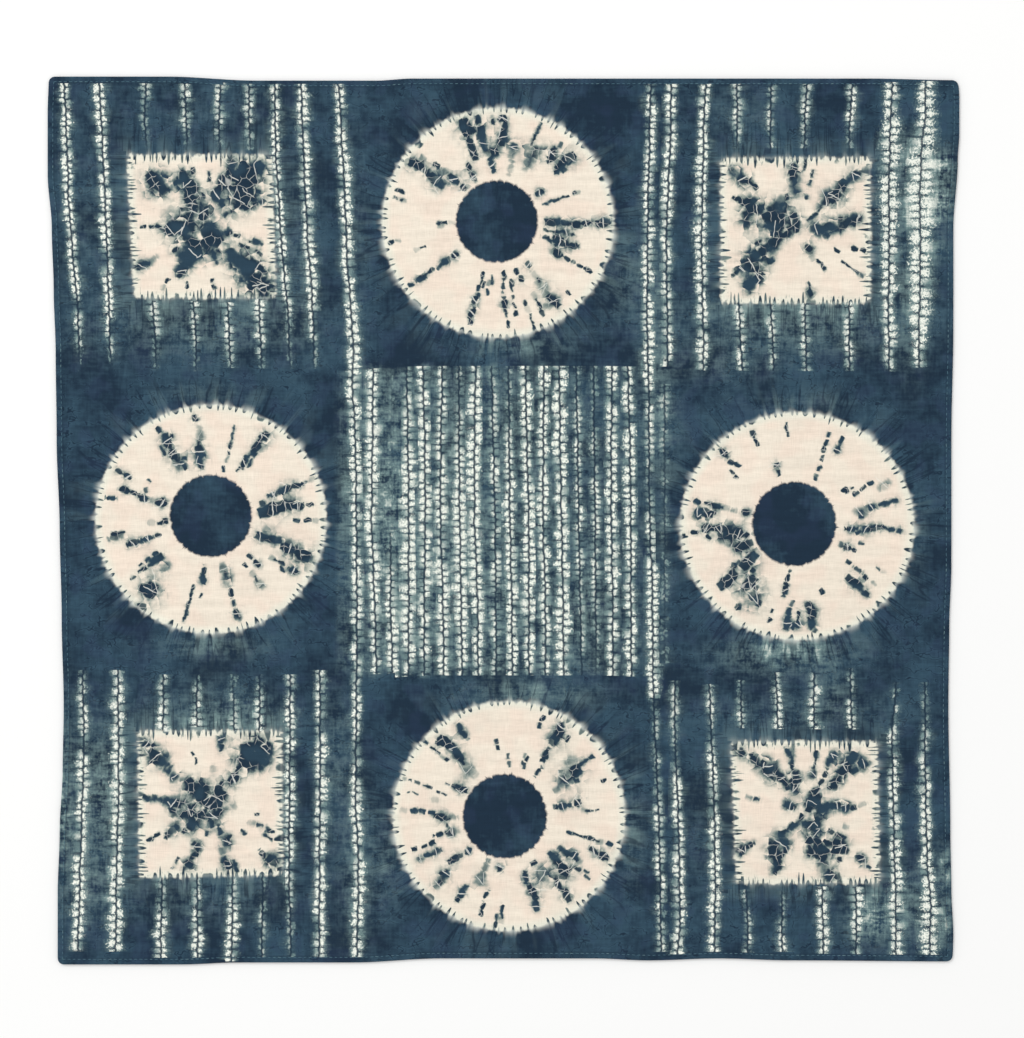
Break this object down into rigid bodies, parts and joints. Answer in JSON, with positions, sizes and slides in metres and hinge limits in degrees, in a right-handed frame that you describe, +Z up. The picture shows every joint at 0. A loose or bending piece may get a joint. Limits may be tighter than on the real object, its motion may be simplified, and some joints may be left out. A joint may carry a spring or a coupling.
{
  "type": "resist-dyed square cloth",
  "caption": "Nearly square indigo cloth with narrow turned hems, stitch-resist dyed with pale rings, squares and dotted rows, lying flat.",
  "frame": {"origin": "middle of the cloth's box, on the surface that the cloth lies on", "axes": "+Z up out of the dyed face, +X along the top and bottom hems to the right, +Y towards the top hem"},
  "size_m": [0.88, 0.857, 0.0036],
  "materials": {
    "cloth": "plain weave, indigo resist dyed, matt"
  },
  "bodies": {
    "root": {"cloth": "cloth"}
  },
  "joints": []
}
